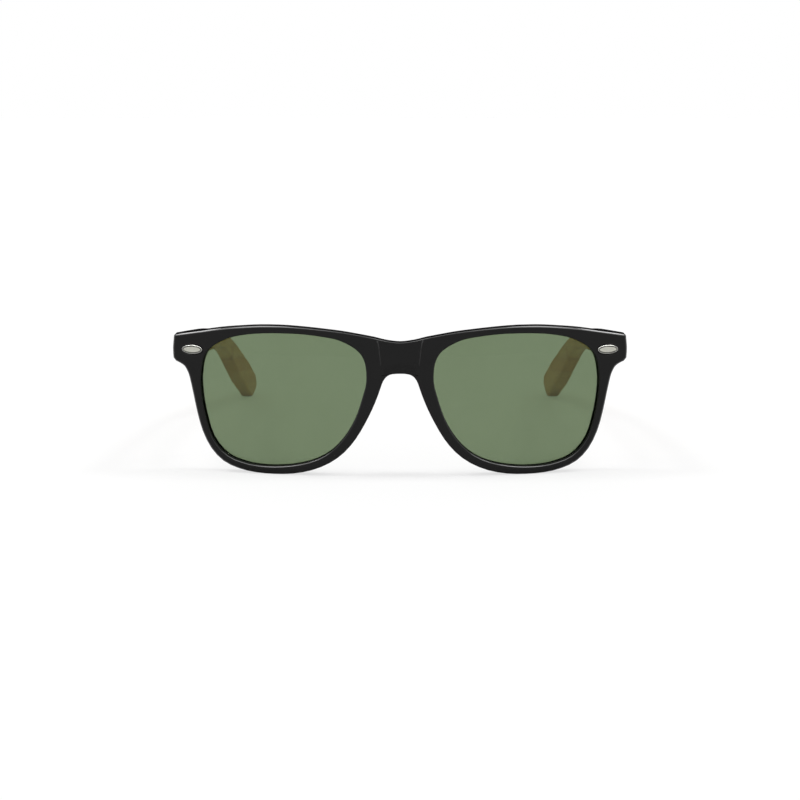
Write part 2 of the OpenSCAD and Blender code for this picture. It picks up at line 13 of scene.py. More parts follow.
import bpy
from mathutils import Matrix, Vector

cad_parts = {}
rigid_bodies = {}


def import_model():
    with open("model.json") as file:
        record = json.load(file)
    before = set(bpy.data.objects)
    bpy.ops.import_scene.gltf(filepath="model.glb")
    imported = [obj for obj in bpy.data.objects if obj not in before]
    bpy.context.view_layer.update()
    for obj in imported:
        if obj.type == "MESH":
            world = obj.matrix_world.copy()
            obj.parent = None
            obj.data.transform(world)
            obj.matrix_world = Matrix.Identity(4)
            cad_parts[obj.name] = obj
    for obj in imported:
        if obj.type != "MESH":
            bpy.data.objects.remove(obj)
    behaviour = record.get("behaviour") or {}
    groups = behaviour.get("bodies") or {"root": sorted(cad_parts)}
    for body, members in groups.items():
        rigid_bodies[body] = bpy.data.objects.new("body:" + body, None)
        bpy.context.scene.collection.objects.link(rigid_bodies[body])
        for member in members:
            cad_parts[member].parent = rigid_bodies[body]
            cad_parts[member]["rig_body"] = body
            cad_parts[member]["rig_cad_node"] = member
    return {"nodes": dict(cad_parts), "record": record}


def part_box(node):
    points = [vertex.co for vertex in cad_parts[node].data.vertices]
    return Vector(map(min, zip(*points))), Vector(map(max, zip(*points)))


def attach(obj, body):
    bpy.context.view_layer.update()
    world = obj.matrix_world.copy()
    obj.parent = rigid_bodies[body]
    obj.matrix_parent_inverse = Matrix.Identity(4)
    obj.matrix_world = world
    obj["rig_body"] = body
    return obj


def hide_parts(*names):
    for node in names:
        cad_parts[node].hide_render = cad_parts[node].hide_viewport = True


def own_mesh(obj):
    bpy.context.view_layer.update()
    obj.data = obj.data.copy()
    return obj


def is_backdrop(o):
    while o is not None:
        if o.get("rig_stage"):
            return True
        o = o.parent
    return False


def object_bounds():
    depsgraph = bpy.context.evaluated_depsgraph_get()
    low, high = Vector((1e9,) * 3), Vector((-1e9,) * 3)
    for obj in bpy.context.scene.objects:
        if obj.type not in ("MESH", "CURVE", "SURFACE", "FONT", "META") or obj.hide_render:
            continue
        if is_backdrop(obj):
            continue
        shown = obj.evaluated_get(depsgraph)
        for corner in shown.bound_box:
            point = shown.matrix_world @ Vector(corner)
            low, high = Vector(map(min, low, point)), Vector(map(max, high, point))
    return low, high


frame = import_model()
cad_low, cad_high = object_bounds()
MM = 0.001
SIDES = {"right": -1, "left": 1}
JOINTS = {joint["name"]: joint for joint in frame["record"]["behaviour"]["joints"]}

# %% [markdown]
# ## Taking a piece from the frame
#
# A piece of the frame may not be changed, and its mesh is a heap of loose triangles. So a piece
# that needs softer edges starts as a copy. The copy's corners are welded, and pairs of
# triangles become four-sided faces, which round off more cleanly than triangles do. The copy
# takes over the body that the original rides on, and the original is hidden. Remodelling such a
# piece from a cube would give the same shape a second time, with more ways to be wrong.

# %% Copy and weld
WELD = 0.001 * MM
# Two triangles become one face if they are about this flat together, and this square.
FLAT, SQUARE = math.radians(12), math.radians(60)


def alone(piece):
    """Selects one object and nothing else."""
    bpy.ops.object.select_all(action="DESELECT")
    piece.select_set(True)
    bpy.context.view_layer.objects.active = piece


def take(node, name):
    """A welded copy of a frame node, selected alone."""
    alone(frame["nodes"][node])
    bpy.ops.object.duplicate()
    piece = bpy.context.active_object
    piece.name = name
    body = piece["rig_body"]
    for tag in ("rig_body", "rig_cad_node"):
        del piece[tag]
    bpy.ops.object.parent_clear(type="CLEAR")
    bpy.ops.mesh.customdata_custom_splitnormals_clear()
    piece.data.materials.clear()
    bpy.ops.object.mode_set(mode="EDIT")
    bpy.ops.mesh.select_all(action="SELECT")
    bpy.ops.mesh.remove_doubles(threshold=WELD)
    bpy.ops.mesh.tris_convert_to_quads(face_threshold=FLAT, shape_threshold=SQUARE)
    bpy.ops.object.mode_set(mode="OBJECT")
    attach(piece, body)
    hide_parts(node)
    return piece


# %% [markdown]
# ## Soft edges and smooth shading
#
# No real edge is perfectly sharp, and a thin rounded edge is what catches the light. The bevel
# goes only on edges that turn by more than a given angle. Seats that a second piece fills are
# left alone, because rounding them would open a gap. Weighted normals then keep the broad faces
# flat, so that only the narrow rounded strips show a gradient.

# %% Round and smooth
BEVEL_STEPS = 2


def inside(point, boxes):
    """True where a point lies in one of some boxes."""
    return any(all(low[i] <= point[i] <= high[i] for i in range(3)) for low, high in boxes)


def around(node, room):
    """The box of a frame node, grown on all sides."""
    low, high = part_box(node)
    grow = Vector((room, room, room))
    return low - grow, high + grow


def round_edges(piece, width, sharpness, leave=()):
    """Rounds every edge that is sharper than an angle, except inside some boxes."""
    bpy.ops.object.mode_set(mode="EDIT")
    bpy.ops.mesh.select_mode(type="EDGE")
    bpy.ops.mesh.select_all(action="DESELECT")
    bpy.ops.mesh.edges_select_sharp(sharpness=math.radians(sharpness))
    bpy.ops.object.mode_set(mode="OBJECT")
    mesh = piece.data
    for edge in mesh.edges:
        middle = sum((mesh.vertices[i].co for i in edge.vertices), Vector()) / 2
        if edge.select and inside(middle, leave):
            edge.select = False
    bpy.ops.object.mode_set(mode="EDIT")
    bpy.ops.mesh.bevel(offset=width, segments=BEVEL_STEPS, affect="EDGES", clamp_overlap=False)
    bpy.ops.object.mode_set(mode="OBJECT")


def smooth(piece, angle):
    """Smooth shading that breaks at sharp edges, with wide faces kept flat."""
    alone(piece)
    bpy.ops.object.shade_smooth_by_angle(angle=math.radians(angle))
    bpy.ops.object.modifier_add(type="WEIGHTED_NORMAL")
    piece.modifiers[-1].keep_sharp = True
    bpy.ops.object.modifier_apply(modifier=piece.modifiers[-1].name)
    print(piece.name, len(piece.data.polygons), "faces")


# %% [markdown]
# ## Colours and nodes
#
# Colours are written as the sRGB hex values that a screen shows, and shaders want linear light,
# so one function converts them. A second small function adds a node, sets it and links it, which
# keeps each material as short as its idea.

# %% Colour and node helpers
def shade(hex_value):
    """Linear RGBA from an sRGB hex value."""
    parts = [int(hex_value[i:i + 2], 16) / 255 for i in (1, 3, 5)]
    return [c / 12.92 if c <= 0.04045 else ((c + 0.055) / 1.055) ** 2.4 for c in parts] + [1]


def add(tree, kind, inputs=None, **settings):
    """Adds a node; an input is a socket to link or a value to set."""
    node = tree.nodes.new(kind)
    for name, value in settings.items():
        setattr(node, name, value)
    for name, value in (inputs or {}).items():
        if isinstance(value, bpy.types.NodeSocket):
            tree.links.new(value, node.inputs[name])
        else:
            node.inputs[name].default_value = value
    return node


def new_material(name):
    """An empty node material and its tree."""
    material = bpy.data.materials.new(name)
    material.use_nodes = True
    material.node_tree.nodes.clear()
    return material, material.node_tree


def show(tree, shader):
    """Ends a material with its output."""
    add(tree, "ShaderNodeOutputMaterial", {"Surface": shader.outputs[0]})


# %% [markdown]
# ## Polished black acetate
#
# The front is black cellulose acetate: moulded, tumbled with wood chips and polished. It shows
# almost no colour of its own. What the eye reads is the reflection: a clear mirror image that
# swims a little, because a polished face is never quite flat, and a gloss that is a shade duller
# where the polishing wheel passed less often. Noise about 9 mm wide drives the gloss, and a
# gentler one 14 mm wide the swimming. The lens openings are cut to size after moulding, and their
# walls are too narrow for a wheel. They stay as the cutter left them, dull and nearly black. The
# two steps beside the sunk bridge panel are a little rougher, as if scraped. A painted highlight
# along their outer edge draws them as thin grey lines, fainter towards the bottom.

# %% Acetate: polished, as cut, and scraped with a painted highlight
def black_acetate():
    material, tree = new_material("polished_black_acetate")
    place = add(tree, "ShaderNodeTexCoord").outputs["Object"]
    haze = add(tree, "ShaderNodeTexNoise", {"Vector": place, "Scale": 1 / (9 * MM), "Detail": 3})
    rough = add(tree, "ShaderNodeMapRange", {
        "Value": haze.outputs["Fac"], "From Min": 0.35, "From Max": 0.75,
        "To Min": 0.07, "To Max": 0.13})
    wave = add(tree, "ShaderNodeTexNoise", {"Vector": place, "Scale": 1 / (14 * MM), "Detail": 1})
    bump = add(tree, "ShaderNodeBump", {"Height": wave.outputs["Fac"], "Strength": 0.15,
                                        "Distance": 0.05 * MM})
    tone = add(tree, "ShaderNodeMix", {"Factor": haze.outputs["Fac"], "A": shade("#0B0B0B"),
                                       "B": shade("#121212")}, data_type="RGBA")
    shader = add(tree, "ShaderNodeBsdfPrincipled", {
        "Base Color": tone.outputs["Result"], "Roughness": rough.outputs["Result"],
        "IOR": 1.48, "Normal": bump.outputs["Normal"]})
    show(tree, shader)
    return material


def cut_acetate():
    material, tree = new_material("cut_black_acetate")
    place = add(tree, "ShaderNodeTexCoord").outputs["Object"]
    # Cutter marks, about 0.2 mm apart.
    marks = add(tree, "ShaderNodeTexNoise", {"Vector": place, "Scale": 1 / (0.2 * MM), "Detail": 2})
    rough = add(tree, "ShaderNodeMapRange", {"Value": marks.outputs["Fac"],
                                             "To Min": 0.45, "To Max": 0.75})
    tone = add(tree, "ShaderNodeMix", {"Factor": marks.outputs["Fac"], "A": shade("#080808"),
                                       "B": shade("#141414")}, data_type="RGBA")
    shader = add(tree, "ShaderNodeBsdfPrincipled", {
        "Base Color": tone.outputs["Result"], "Roughness": rough.outputs["Result"],
        "IOR": 1.48, "Specular IOR Level": 0.15})
    show(tree, shader)
    return material


# The steps lie within STEP_X of the middle, from STEP_Z up. Their painted highlight is fainter low
# down and full at STEP_TOP.
STEP_X, STEP_Z, STEP_TOP = 7.6 * MM, 34 * MM, 44 * MM
# The outer edge of a step leans by STEP_LEAN, and would be STEP_EDGE from the middle at the table.
# The painted highlight starts 0.6 mm inside that edge and is full 0.1 mm inside it.
STEP_EDGE, STEP_LEAN, HIGHLIGHT_START, HIGHLIGHT_FULL = 2.05 * MM, 0.12, 0.6 * MM, 0.1 * MM


def scraped_acetate_painted_highlight():
    material, tree = new_material("scraped_black_acetate_painted_highlight")
    place = add(tree, "ShaderNodeTexCoord").outputs["Object"]
    part = add(tree, "ShaderNodeSeparateXYZ", {0: place})
    # The step leans outwards as it rises, and only its outer edge gets the painted highlight.
    aside = add(tree, "ShaderNodeMath", {0: part.outputs["X"]}, operation="ABSOLUTE")
    lean = add(tree, "ShaderNodeMath", {0: part.outputs["Z"], 1: -STEP_LEAN, 2: aside.outputs[0]},
               operation="MULTIPLY_ADD")
    edge = add(tree, "ShaderNodeMapRange", {"Value": lean.outputs[0], "From Min": STEP_EDGE - HIGHLIGHT_START,
                                            "From Max": STEP_EDGE - HIGHLIGHT_FULL})
    rise = add(tree, "ShaderNodeMapRange", {"Value": part.outputs["Z"], "From Min": STEP_Z,
                                            "From Max": STEP_TOP, "To Min": 0.3})
    painted_highlight = add(tree, "ShaderNodeMath", {0: edge.outputs["Result"], 1: rise.outputs["Result"]},
               operation="MULTIPLY")
    # Scraper marks, about 0.2 mm apart, break the line up a little.
    marks = add(tree, "ShaderNodeTexNoise", {"Vector": place, "Scale": 1 / (0.2 * MM), "Detail": 2})
    rough = add(tree, "ShaderNodeMapRange", {"Value": marks.outputs["Fac"],
                                             "To Min": 0.1, "To Max": 0.3})
    # Painted highlight: the outer edge of each step is a lighter grey, stronger higher up.
    tone = add(tree, "ShaderNodeMix", {"Factor": painted_highlight.outputs[0], "A": shade("#0F0F0F"),
                                       "B": shade("#4A4A4A")}, data_type="RGBA")
    shader = add(tree, "ShaderNodeBsdfPrincipled", {
        "Base Color": tone.outputs["Result"], "Roughness": rough.outputs["Result"], "IOR": 1.48})
    show(tree, shader)
    return material


# %% [markdown]
# ## The front
#
# One moulding carries both rims, the bridge with its sunk panel, the nose pads and the two end
# pieces. Its long edges are already chamfered in the frame. A small bevel turns each chamfer into
# a soft strip, and the strips draw the thin bright lines that make black plastic readable. The
# seats of the rivets and hinges keep their sharp edges. The faces of the lens walls and of the
# panel's steps are picked by place and direction: walls look towards the middle of their lens,
# steps towards the middle of the bridge.

# %% Front
LENS_X, LENS_Z = 37.7 * MM, 24.7 * MM
# How far a face must turn: a step to the front and inwards, a wall to the middle of its lens.
STEP_FRONT, STEP_IN, WALL_IN = -0.9, 0.2, 0.75
front = take("front_frame", "front_polished")
seats = [around(side + "_" + part, room=0.5 * MM)
         for side in SIDES for part in ("rivet", "front_hinge")]
round_edges(front, width=0.1 * MM, sharpness=18, leave=seats)
smooth(front, angle=30)
for finish in (black_acetate, cut_acetate, scraped_acetate_painted_highlight):
    front.data.materials.append(finish())
CUT, STEP_HIGHLIGHT = 1, 2
wall_low, wall_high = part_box("right_lens")
walls = steps = 0
for face in front.data.polygons:
    middle = face.center
    inwards = -math.copysign(face.normal.x, middle.x * face.normal.x)
    on_panel = abs(middle.x) < STEP_X and middle.z > STEP_Z
    # The steps take the acetate with the painted highlight.
    if on_panel and face.normal.y < STEP_FRONT and inwards > STEP_IN:
        face.material_index = STEP_HIGHLIGHT
        steps += 1
    to_lens = Vector((math.copysign(LENS_X, middle.x) - middle.x, 0, LENS_Z - middle.z))
    near = wall_low.x < -abs(middle.x) < wall_high.x and wall_low.z < middle.z < wall_high.z
    if near and face.normal.dot(to_lens.normalized()) > WALL_IN:
        face.material_index = CUT
        walls += 1
print("faces of the lens walls:", walls, "and of the panel's steps:", steps)

# %% [markdown]
# ## Dyed lenses
#
# Each lens is a thin curved sheet of clear plastic, dyed green right through and polished on both
# sides. White light comes out of it as an even grey-green. A glass shader with that colour would
# do, but a ray of light from a lamp to the table would be blocked by it, and the lens would cast
# a black shadow. So shadow rays meet a plain transparent shader of the same tint. The dye never
# mixes in quite evenly, so the tint varies a little, over about 20 mm, and polishing leaves a
# trace of haze.

# %% Lenses
def dyed_lens():
    material, tree = new_material("dyed_green_lens")
    place = add(tree, "ShaderNodeTexCoord").outputs["Object"]
    cloud = add(tree, "ShaderNodeTexNoise", {"Vector": place, "Scale": 1 / (20 * MM), "Detail": 2})
    tint = add(tree, "ShaderNodeMix", {"Factor": cloud.outputs["Fac"], "A": shade("#6E7E61"),
                                       "B": shade("#728265")}, data_type="RGBA")
    haze = add(tree, "ShaderNodeMapRange", {"Value": cloud.outputs["Fac"],
                                            "To Min": 0.0, "To Max": 0.04})
    shader = add(tree, "ShaderNodeBsdfPrincipled", {
        "Base Color": tint.outputs["Result"], "Roughness": haze.outputs["Result"],
        "IOR": 1.5, "Transmission Weight": 1.0})
    veil = add(tree, "ShaderNodeBsdfTransparent", {"Color": tint.outputs["Result"]})
    shadow = add(tree, "ShaderNodeLightPath").outputs["Is Shadow Ray"]
    both = add(tree, "ShaderNodeMixShader", {0: shadow, 1: shader.outputs[0], 2: veil.outputs[0]})
    show(tree, both)
    return material


green = dyed_lens()
for side in SIDES:
    lens = take(side + "_lens", side + "_lens_dyed")
    smooth(lens, angle=40)
    lens.data.materials.append(green)

# %% [markdown]
# ## Oval rivets
#
# The rivets are small stamped ovals: a raised rounded border, a thin groove and a flat plate in
# the middle, on two pins that go into the plastic. The stamp starts as a cylinder, squeezed to an
# oval. The edge of its top is bevelled to a round rim. Then the top is inset four times: for the
# border, down into the groove, along its floor and up again to the plate. It is modelled once,
# lying on the world's origin, and copied to both end pieces.

# %% Model the rivet
OVAL_W, OVAL_H = 7.1 * MM, 2.9 * MM
SUNK, PROUD = 0.45 * MM, 0.12 * MM
RIM, BORDER, DEEP = 0.16 * MM, 0.1 * MM, 0.22 * MM
# Width and rise of each ring of the top, from the border inwards.
RINGS = ((BORDER, 0), (0.1 * MM, -DEEP), (0.1 * MM, 0), (0.08 * MM, 0.9 * DEEP))
PIN_R, PIN_L, PIN_AT, PIN_ROOT = 0.55 * MM, 2.2 * MM, 1.99 * MM, 0.05 * MM
bpy.ops.object.select_all(action="DESELECT")
bpy.ops.mesh.primitive_cylinder_add(vertices=72, radius=0.5, depth=1)
stamp = bpy.context.active_object
bpy.ops.object.mode_set(mode="EDIT")
bpy.ops.transform.resize(value=(OVAL_W, OVAL_H, SUNK + PROUD))
bpy.ops.transform.translate(value=(0, 0, (PROUD - SUNK) / 2))
bpy.ops.object.mode_set(mode="OBJECT")


def pick_faces(piece, test):
    """Selects the faces that pass a test, and opens edit mode on them."""
    alone(piece)
    for part in (piece.data.vertices, piece.data.edges, piece.data.polygons):
        part.foreach_set("select", [False] * len(part))
    for face in piece.data.polygons:
        face.select = test(face)
    bpy.ops.object.mode_set(mode="EDIT")
    bpy.ops.mesh.select_mode(type="FACE")


# The flat top looks up, and is one face with far more sides than the four of its neighbours.
UPWARDS, MANY_SIDES = 0.9, 30
pick_faces(stamp, lambda face: face.normal.z > UPWARDS)
bpy.ops.mesh.bevel(offset=RIM, segments=3, affect="EDGES")
bpy.ops.object.mode_set(mode="OBJECT")
pick_faces(stamp, lambda face: face.normal.z > UPWARDS and len(face.vertices) > MANY_SIDES)
for width, rise in RINGS:
    bpy.ops.mesh.inset(thickness=width, depth=rise)
for sign in SIDES.values():
    bpy.ops.mesh.primitive_cylinder_add(vertices=20, radius=PIN_R, depth=PIN_L,
                                        location=(sign * PIN_AT, 0, PIN_ROOT - SUNK - PIN_L / 2))
bpy.ops.object.mode_set(mode="OBJECT")
print("rivet:", len(stamp.data.polygons), "faces")

# %% [markdown]
# The border of a plated rivet is polished, so it flashes where it turns to the light. The plate in
# the middle is blasted with fine sand, which keeps it light from every side. The groove between
# them gets painted shade: the same nickel, much darker. The pits of the sand are far finer than a
# pixel. They are drawn 0.15 mm wide so that a close view shows them.

# %% Metals
def worked_metal(name, light, dark, smoothest, roughest, grain, turn=0.0):
    """A metal whose tone and roughness follow marks of a given size in mm."""
    material, tree = new_material(name)
    place = add(tree, "ShaderNodeTexCoord").outputs["Object"]
    along = add(tree, "ShaderNodeMapping", {"Vector": place, "Rotation": (turn, 0, 0)})
    marks = add(tree, "ShaderNodeMapping", {
        "Vector": along.outputs["Vector"], "Scale": [1 / (size * MM) for size in grain]})
    noise = add(tree, "ShaderNodeTexNoise", {"Vector": marks.outputs["Vector"], "Scale": 1.0,
                                             "Detail": 3})
    tone = add(tree, "ShaderNodeMix", {"Factor": noise.outputs["Fac"], "A": shade(light),
                                       "B": shade(dark)}, data_type="RGBA")
    rough = add(tree, "ShaderNodeMapRange", {
        "Value": noise.outputs["Fac"], "From Min": 0.3, "From Max": 0.7,
        "To Min": smoothest, "To Max": roughest})
    bump = add(tree, "ShaderNodeBump", {"Height": noise.outputs["Fac"], "Strength": 0.2,
                                        "Distance": 0.01 * MM})
    shader = add(tree, "ShaderNodeBsdfPrincipled", {
        "Base Color": tone.outputs["Result"], "Metallic": 1.0,
        "Roughness": rough.outputs["Result"], "Normal": bump.outputs["Normal"]})
    show(tree, shader)
    return material


PITS = (0.15, 0.15, 0.15)
# The last metal is painted shade: nickel made much darker for the groove.
for nickel in (("polished_nickel_plate", "#E8E8E2", "#DADAD3", 0.1, 0.2, PITS),
               ("blasted_nickel_plate", "#ECECE4", "#E0E0D7", 0.75, 0.9, PITS),
               ("groove_nickel_painted_shade", "#6E6E68", "#54544E", 0.4, 0.6, PITS)):
    stamp.data.materials.append(worked_metal(*nickel))
BLASTED, GROOVE_SHADE = 1, 2
inner_w, inner_h = OVAL_W / 2 - RIM - BORDER, OVAL_H / 2 - RIM - BORDER
# The plate gets the blasted nickel, and the groove inside the border the painted shade.
for face in stamp.data.polygons:
    middle = face.center
    in_border = (middle.x / inner_w) ** 2 + (middle.y / inner_h) ** 2 < 1
    if len(face.vertices) > MANY_SIDES and middle.z > 0:
        face.material_index = BLASTED
    elif in_border and face.normal.z > 0 and middle.z > -DEEP:
        face.material_index = GROOVE_SHADE
print("rivet metals:", [metal.name for metal in stamp.data.materials])

# %% Place the rivets
WRAP_R, RIVET_X = 240 * MM, 67.55 * MM
RIVET_TURN = math.asin(RIVET_X / WRAP_R)
for side, sign in SIDES.items():
    low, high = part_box(side + "_rivet")
    alone(stamp)
    bpy.ops.object.duplicate()
    rivet = bpy.context.active_object
    rivet.name = side + "_rivet_stamped"
    # The stamp's top turns to the front, then outwards with the wrap of the face. The wrap gives
    # its depth too, and the rivet in the frame its height.
    rivet.rotation_euler = (math.pi / 2, 0, sign * RIVET_TURN)
    depth = WRAP_R - math.sqrt(WRAP_R ** 2 - RIVET_X ** 2)
    rivet.location = (sign * RIVET_X, cad_low.y + depth, (low.z + high.z) / 2)
    bpy.ops.object.transform_apply(location=True, rotation=True, scale=True)
    smooth(rivet, angle=40)
    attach(rivet, "front")
    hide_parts(side + "_rivet")
bpy.data.objects.remove(stamp)

# %% [markdown]
# ## Laminated bamboo
#
# The temples are sawn from a board of bamboo strips, glued side by side, then shaped, sanded and
# oiled. Bamboo has no rings. It shows straight fibres, and among them short dark flecks where the
# sap ran. The strips are about 5 mm wide, each with its own tone, and thin glue lines lie between
# them. Here and there a darker band crosses a strip, where a joint of the cane was. The fibres
# follow the board, not the bend of the ear hook, so the pattern uses straight object coordinates,
# turned to the slope of the temples. A picture of wood would stretch at the ends.

# %% Bamboo
reach = Vector(JOINTS["right_flex"]["axis"])
SLOPE = math.atan2(-reach.z, reach.y)
# Width of a strip, length of cane between two joints, and the number that the count starts from,
# which picks the tone of each strip.
STRIP, CANE, FIRST_STRIP = 5 * MM, 150 * MM, 21


def laminated_bamboo():
    material, tree = new_material("sanded_laminated_bamboo")
    place = add(tree, "ShaderNodeTexCoord").outputs["Object"]
    board = add(tree, "ShaderNodeMapping", {"Vector": place, "Rotation": (SLOPE, 0, 0)}).outputs[0]
    part = add(tree, "ShaderNodeSeparateXYZ", {0: board})
    # Strips: a number for each one gives its tone, and the edge between two is the glue line.
    count = add(tree, "ShaderNodeMath", {0: part.outputs["Z"], 1: 1 / STRIP, 2: FIRST_STRIP},
                operation="MULTIPLY_ADD")
    strip = add(tree, "ShaderNodeMath", {0: count.outputs[0]}, operation="FLOOR")
    own = add(tree, "ShaderNodeTexWhiteNoise", {"W": strip.outputs[0]}, noise_dimensions="1D")
    across = add(tree, "ShaderNodeMath", {0: count.outputs[0]}, operation="FRACT")
    glue = add(tree, "ShaderNodeMapRange", {"Value": across.outputs[0], "From Min": 0.015,
                                            "From Max": 0.05, "To Min": 0.45, "To Max": 0.0})
    # Fibres, half a millimetre wide and some 20 mm long: coarser than real ones, so that they show.
    drawn = add(tree, "ShaderNodeMapping", {"Vector": board, "Scale": (1, 1 / 40, 1)})
    fibre = add(tree, "ShaderNodeTexNoise", {
        "Vector": drawn.outputs[0], "Scale": 1 / (0.5 * MM), "Detail": 4, "Roughness": 0.6})
    grain = add(tree, "ShaderNodeMapRange", {"Value": fibre.outputs["Fac"], "From Min": 0.35,
                                             "From Max": 0.75, "To Min": 0.0, "To Max": 0.75})
    # Flecks: long cells, dark in the middle. Real ones are finer, and would not show.
    short = add(tree, "ShaderNodeMapping", {"Vector": board, "Scale": (1, 1 / 10, 1)})
    cell = add(tree, "ShaderNodeTexVoronoi", {"Vector": short.outputs[0], "Scale": 1 / (0.9 * MM)})
    fleck = add(tree, "ShaderNodeMapRange", {
        "Value": cell.outputs["Distance"], "From Min": 0.1, "From Max": 0.32,
        "To Min": 0.6, "To Max": 0.0})
    # Cane joints: one band on each strip, at a place of its own, with an uneven edge.
    wander = add(tree, "ShaderNodeMath", {0: fibre.outputs["Fac"], 1: 0.03}, operation="MULTIPLY")
    far = add(tree, "ShaderNodeMath", {0: part.outputs["Y"], 1: 1 / CANE, 2: own.outputs["Value"]},
              operation="MULTIPLY_ADD")
    spot = add(tree, "ShaderNodeMath", {0: far.outputs[0], 1: wander.outputs[0]}, operation="ADD")
    turn = add(tree, "ShaderNodeMath", {0: spot.outputs[0]}, operation="FRACT")
    off = add(tree, "ShaderNodeMath", {0: turn.outputs[0], 1: 0.5}, operation="SUBTRACT")
    apart = add(tree, "ShaderNodeMath", {0: off.outputs[0]}, operation="ABSOLUTE")
    band = add(tree, "ShaderNodeMapRange", {"Value": apart.outputs[0], "From Min": 0.003,
                                            "From Max": 0.016, "To Min": 0.5, "To Max": 0.0})
    colour = add(tree, "ShaderNodeMix", {"Factor": own.outputs["Value"], "A": shade("#F0D292"),
                                         "B": shade("#E0AE60")}, data_type="RGBA")
    for amount, dark in ((grain, "#CC914C"), (fleck, "#A2723C"), (band, "#AC7A42"),
                         (glue, "#8A6538")):
        colour = add(tree, "ShaderNodeMix", {
            "Factor": amount.outputs["Result"], "A": colour.outputs["Result"],
            "B": shade(dark)}, data_type="RGBA")
    rough = add(tree, "ShaderNodeMapRange", {"Value": fibre.outputs["Fac"],
                                             "To Min": 0.38, "To Max": 0.6})
    bump = add(tree, "ShaderNodeBump", {"Height": fibre.outputs["Fac"], "Strength": 0.3,
                                        "Distance": 0.04 * MM})
    shader = add(tree, "ShaderNodeBsdfPrincipled", {
        "Base Color": colour.outputs["Result"], "Roughness": rough.outputs["Result"],
        "Normal": bump.outputs["Normal"]})
    show(tree, shader)
    return material


# %% [markdown]
# The temples' long edges are rounded in the frame already. What the copy adds is a sanded break on
# the edges that are still sharp: the end that meets the front and the rim of the hinge's pocket.

# %% Temples
bamboo = laminated_bamboo()
for side in SIDES:
    temple = take(side + "_temple", side + "_temple_bamboo")
    round_edges(temple, width=0.12 * MM, sharpness=50)
    smooth(temple, angle=35)
    temple.data.materials.append(bamboo)

# %% [markdown]
# ## Hinges
#
# A spring hinge is stamped and milled from nickel silver and steel. The box that is let into the
# temple is brushed along its length. The leaves and the slider are tumbled, which rounds their
# edges and leaves a soft grey. The screws are turned and plated, the bush and the nut are turned
# brass. All are a few millimetres big, so their marks are drawn coarser than real, a tenth to a
# third of a millimetre wide, and the edges get a bevel that a camera can still see.

# %% Hinge metals
brushed = worked_metal("brushed_steel", "#C2C2BE", "#9C9C99", 0.25, 0.42, (0.12, 6, 0.12), SLOPE)
tumbled = worked_metal("tumbled_steel", "#B6B6B2", "#98989A", 0.3, 0.48, (0.3, 0.3, 0.3))
plated = worked_metal("plated_screw_steel", "#CFCFCB", "#B4B4B2", 0.16, 0.3, (0.2, 0.2, 0.2))
turned = worked_metal("turned_brass", "#D6B468", "#B28C44", 0.2, 0.36, (4, 0.12, 4), SLOPE)
# Metal, slot in the record and width of the bevel in mm.
HINGE = {"front_hinge": (tumbled, "hinge_steel", 0.12),
         "spring_housing": (brushed, "hinge_steel", 0.1),
         "slider": (tumbled, "hinge_steel", 0.08),
         "hinge_screw": (plated, "screw_steel", 0.06),
         "housing_screws": (plated, "screw_steel", 0.04),
         "guide_bush": (turned, "brass", 0.05),
         "stop_nut": (turned, "brass", 0.05)}
for side in SIDES:
    for part, (metal, slot, width) in HINGE.items():
        piece = take(side + "_" + part, side + "_" + part + "_metal")
        round_edges(piece, width * MM, sharpness=40)
        smooth(piece, angle=35)
        piece.data.materials.append(metal)

# %% [markdown]
# ## Springs
#
# The frame's spring is a rough six-sided wire. The real one is drawn round wire, wound on a
# mandrel. A Screw modifier does just that: it carries a small circle round an axis while it moves
# along. The holes at both ends are filled and the normals turned outwards. When a temple slides
# out, the bush comes closer to the nut and the real spring is pressed together. This one rides on
# the temple and keeps its full length.

# %% Springs
WIRE_R, COIL_R, COIL_L, TURNS = 0.16 * MM, 0.925 * MM, 7.3 * MM, 8
FIRST_COIL, WIRE_SIDES, TURN_STEPS = 3.31 * MM, 10, 28
wire = worked_metal("drawn_spring_wire", "#A9A9A8", "#82827F", 0.22, 0.4, (0.15, 0.15, 0.15))
for side in SIDES:
    along = Vector(JOINTS[side + "_flex"]["axis"]).normalized()
    start = Vector(JOINTS[side + "_fold"]["pos_m"]) + FIRST_COIL * along
    bpy.ops.object.select_all(action="DESELECT")
    bpy.ops.mesh.primitive_circle_add(vertices=WIRE_SIDES, radius=WIRE_R, location=(COIL_R, 0, 0))
    spring = bpy.context.active_object
    spring.name = side + "_spring_wound"
    bpy.ops.object.transform_apply(location=True)
    bpy.ops.object.modifier_add(type="SCREW")
    wind = spring.modifiers[-1]
    wind.axis = "Y"
    wind.screw_offset = COIL_L / TURNS
    wind.iterations = TURNS
    wind.steps = wind.render_steps = TURN_STEPS
    bpy.ops.object.modifier_apply(modifier=wind.name)
    bpy.ops.object.mode_set(mode="EDIT")
    bpy.ops.mesh.select_all(action="SELECT")
    bpy.ops.mesh.remove_doubles(threshold=WELD)
    bpy.ops.mesh.fill_holes(sides=0)
    bpy.ops.mesh.normals_make_consistent(inside=False)
    bpy.ops.object.mode_set(mode="OBJECT")
    spring.rotation_euler = Vector((0, 1, 0)).rotation_difference(along).to_euler()
    spring.location = start
    bpy.ops.object.transform_apply(location=True, rotation=True)
    smooth(spring, angle=50)
    spring.data.materials.append(wire)
    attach(spring, side + "_temple")
    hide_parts(side + "_spring")
    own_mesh(spring)

# %% [markdown]
# ## White table and room
#
# The glasses stand on a white table in a white room. The room's light on the object is kept at a
# plain level. The background still has to be white where the camera sees it, in gloss and through
# the lenses. Light Path tells these rays from the rays that only carry light, so the room shows
# full white to the first and its plain level to the second. The table bounces light as pale paint
# does. To the rays that show it, it is a greyer coat with a glow of its own. The two add up to
# white, and the table keeps its shadows, only fainter.

